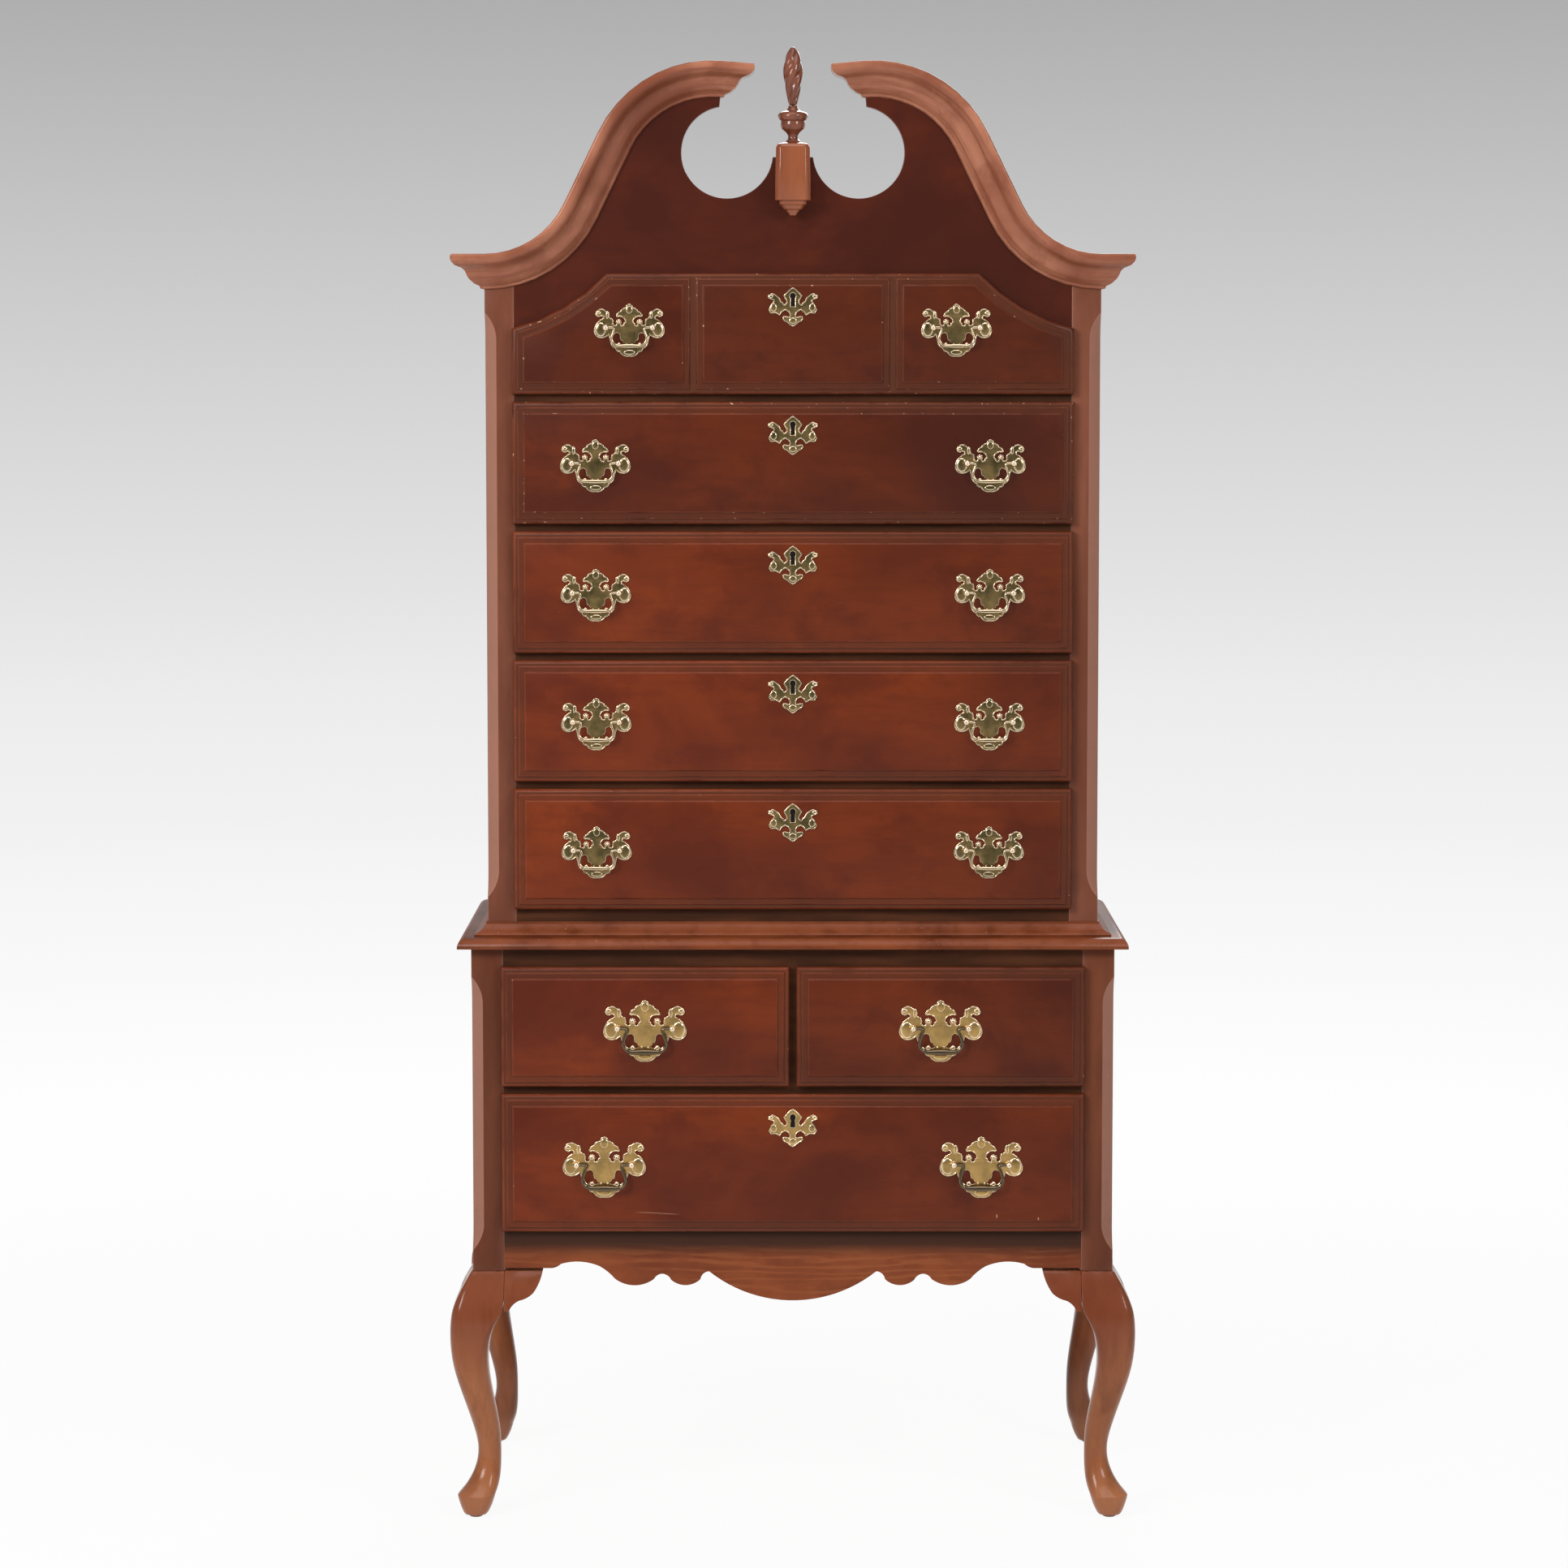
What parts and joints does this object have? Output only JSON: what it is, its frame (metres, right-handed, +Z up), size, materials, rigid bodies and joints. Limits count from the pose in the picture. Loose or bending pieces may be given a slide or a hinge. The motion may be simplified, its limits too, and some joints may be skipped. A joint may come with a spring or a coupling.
{
  "type": "highboy",
  "caption": "Tall two-part chest of drawers with a swan-neck pediment and spiral finial, lipped drawers, brass bail pulls and cabriole legs.",
  "frame": {"origin": "on the floor under the centre of the whole piece", "axes": "+Z up, +X to the viewer's right when facing the drawers, the drawers open toward -Y"},
  "size_m": [0.952, 0.5238, 2.032],
  "materials": {
    "stained_wood": "semi-gloss red-brown stain",
    "secondary_wood": "plain",
    "brass": "aged"
  },
  "bodies": {
    "case": {"chest_sides": "stained_wood", "chest_back": "secondary_wood", "chest_top": "secondary_wood", "chest_posts": "stained_wood", "chest_frames": "secondary_wood", "pediment_board": "stained_wood", "left_cornice": "stained_wood", "right_cornice": "stained_wood", "finial_plinth": "stained_wood", "finial": "stained_wood", "chest_base_moulding": "stained_wood", "base_top": "stained_wood", "base_sides": "stained_wood", "base_back": "secondary_wood", "base_posts": "stained_wood", "base_frames": "secondary_wood", "front_apron": "stained_wood", "front_left_leg": "stained_wood", "front_right_leg": "stained_wood", "rear_left_leg": "stained_wood", "rear_right_leg": "stained_wood", "knee_brackets": "stained_wood"},
    "top_drawer": {"top_drawer_front": "stained_wood", "top_drawer_box": "secondary_wood", "top_drawer_brasses": "brass"},
    "top_drawer_left_bail": {"top_drawer_left_bail": "brass"},
    "top_drawer_right_bail": {"top_drawer_right_bail": "brass"},
    "chest_drawer_1": {"chest_drawer_1_front": "stained_wood", "chest_drawer_1_box": "secondary_wood", "chest_drawer_1_brasses": "brass"},
    "chest_drawer_1_left_bail": {"chest_drawer_1_left_bail": "brass"},
    "chest_drawer_1_right_bail": {"chest_drawer_1_right_bail": "brass"},
    "chest_drawer_2": {"chest_drawer_2_front": "stained_wood", "chest_drawer_2_box": "secondary_wood", "chest_drawer_2_brasses": "brass"},
    "chest_drawer_2_left_bail": {"chest_drawer_2_left_bail": "brass"},
    "chest_drawer_2_right_bail": {"chest_drawer_2_right_bail": "brass"},
    "chest_drawer_3": {"chest_drawer_3_front": "stained_wood", "chest_drawer_3_box": "secondary_wood", "chest_drawer_3_brasses": "brass"},
    "chest_drawer_3_left_bail": {"chest_drawer_3_left_bail": "brass"},
    "chest_drawer_3_right_bail": {"chest_drawer_3_right_bail": "brass"},
    "chest_drawer_4": {"chest_drawer_4_front": "stained_wood", "chest_drawer_4_box": "secondary_wood", "chest_drawer_4_brasses": "brass"},
    "chest_drawer_4_left_bail": {"chest_drawer_4_left_bail": "brass"},
    "chest_drawer_4_right_bail": {"chest_drawer_4_right_bail": "brass"},
    "base_left_drawer": {"base_left_drawer_front": "stained_wood", "base_left_drawer_box": "secondary_wood", "base_left_drawer_brasses": "brass"},
    "base_left_drawer_bail": {"base_left_drawer_bail": "brass"},
    "base_right_drawer": {"base_right_drawer_front": "stained_wood", "base_right_drawer_box": "secondary_wood", "base_right_drawer_brasses": "brass"},
    "base_right_drawer_bail": {"base_right_drawer_bail": "brass"},
    "base_long_drawer": {"base_long_drawer_front": "stained_wood", "base_long_drawer_box": "secondary_wood", "base_long_drawer_brasses": "brass"},
    "base_long_drawer_left_bail": {"base_long_drawer_left_bail": "brass"},
    "base_long_drawer_right_bail": {"base_long_drawer_right_bail": "brass"}
  },
  "joints": [
    {"name": "top_drawer_slide", "type": "slide", "parent": "case", "child": "top_drawer", "axis": [0, -1, 0], "range_m": [0, 0.32]},
    {"name": "top_drawer_left_bail_hinge", "type": "hinge", "parent": "top_drawer", "child": "top_drawer_left_bail", "pos_m": [-0.2235, -0.2325, 1.652], "axis": [-1, 0, 0], "range_deg": [0, 115]},
    {"name": "top_drawer_right_bail_hinge", "type": "hinge", "parent": "top_drawer", "child": "top_drawer_right_bail", "pos_m": [0.2235, -0.2325, 1.652], "axis": [-1, 0, 0], "range_deg": [0, 115]},
    {"name": "chest_drawer_1_slide", "type": "slide", "parent": "case", "child": "chest_drawer_1", "axis": [0, -1, 0], "range_m": [0, 0.32]},
    {"name": "chest_drawer_1_left_bail_hinge", "type": "hinge", "parent": "chest_drawer_1", "child": "chest_drawer_1_left_bail", "pos_m": [-0.2705, -0.2325, 1.46725], "axis": [-1, 0, 0], "range_deg": [0, 115]},
    {"name": "chest_drawer_1_right_bail_hinge", "type": "hinge", "parent": "chest_drawer_1", "child": "chest_drawer_1_right_bail", "pos_m": [0.2705, -0.2325, 1.46725], "axis": [-1, 0, 0], "range_deg": [0, 115]},
    {"name": "chest_drawer_2_slide", "type": "slide", "parent": "case", "child": "chest_drawer_2", "axis": [0, -1, 0], "range_m": [0, 0.32]},
    {"name": "chest_drawer_2_left_bail_hinge", "type": "hinge", "parent": "chest_drawer_2", "child": "chest_drawer_2_left_bail", "pos_m": [-0.2705, -0.2325, 1.28975], "axis": [-1, 0, 0], "range_deg": [0, 115]},
    {"name": "chest_drawer_2_right_bail_hinge", "type": "hinge", "parent": "chest_drawer_2", "child": "chest_drawer_2_right_bail", "pos_m": [0.2705, -0.2325, 1.28975], "axis": [-1, 0, 0], "range_deg": [0, 115]},
    {"name": "chest_drawer_3_slide", "type": "slide", "parent": "case", "child": "chest_drawer_3", "axis": [0, -1, 0], "range_m": [0, 0.32]},
    {"name": "chest_drawer_3_left_bail_hinge", "type": "hinge", "parent": "chest_drawer_3", "child": "chest_drawer_3_left_bail", "pos_m": [-0.2705, -0.2325, 1.11225], "axis": [-1, 0, 0], "range_deg": [0, 115]},
    {"name": "chest_drawer_3_right_bail_hinge", "type": "hinge", "parent": "chest_drawer_3", "child": "chest_drawer_3_right_bail", "pos_m": [0.2705, -0.2325, 1.11225], "axis": [-1, 0, 0], "range_deg": [0, 115]},
    {"name": "chest_drawer_4_slide", "type": "slide", "parent": "case", "child": "chest_drawer_4", "axis": [0, -1, 0], "range_m": [0, 0.32]},
    {"name": "chest_drawer_4_left_bail_hinge", "type": "hinge", "parent": "chest_drawer_4", "child": "chest_drawer_4_left_bail", "pos_m": [-0.2705, -0.2325, 0.93475], "axis": [-1, 0, 0], "range_deg": [0, 115]},
    {"name": "chest_drawer_4_right_bail_hinge", "type": "hinge", "parent": "chest_drawer_4", "child": "chest_drawer_4_right_bail", "pos_m": [0.2705, -0.2325, 0.93475], "axis": [-1, 0, 0], "range_deg": [0, 115]},
    {"name": "base_left_drawer_slide", "type": "slide", "parent": "case", "child": "base_left_drawer", "axis": [0, -1, 0], "range_m": [0, 0.32]},
    {"name": "base_left_drawer_bail_hinge", "type": "hinge", "parent": "base_left_drawer", "child": "base_left_drawer_bail", "pos_m": [-0.204, -0.2575, 0.6905], "axis": [-1, 0, 0], "range_deg": [0, 115]},
    {"name": "base_right_drawer_slide", "type": "slide", "parent": "case", "child": "base_right_drawer", "axis": [0, -1, 0], "range_m": [0, 0.32]},
    {"name": "base_right_drawer_bail_hinge", "type": "hinge", "parent": "base_right_drawer", "child": "base_right_drawer_bail", "pos_m": [0.204, -0.2575, 0.6905], "axis": [-1, 0, 0], "range_deg": [0, 115]},
    {"name": "base_long_drawer_slide", "type": "slide", "parent": "case", "child": "base_long_drawer", "axis": [0, -1, 0], "range_m": [0, 0.32]},
    {"name": "base_long_drawer_left_bail_hinge", "type": "hinge", "parent": "base_long_drawer", "child": "base_long_drawer_left_bail", "pos_m": [-0.2606, -0.2575, 0.5005], "axis": [-1, 0, 0], "range_deg": [0, 115]},
    {"name": "base_long_drawer_right_bail_hinge", "type": "hinge", "parent": "base_long_drawer", "child": "base_long_drawer_right_bail", "pos_m": [0.2606, -0.2575, 0.5005], "axis": [-1, 0, 0], "range_deg": [0, 115]}
  ]
}
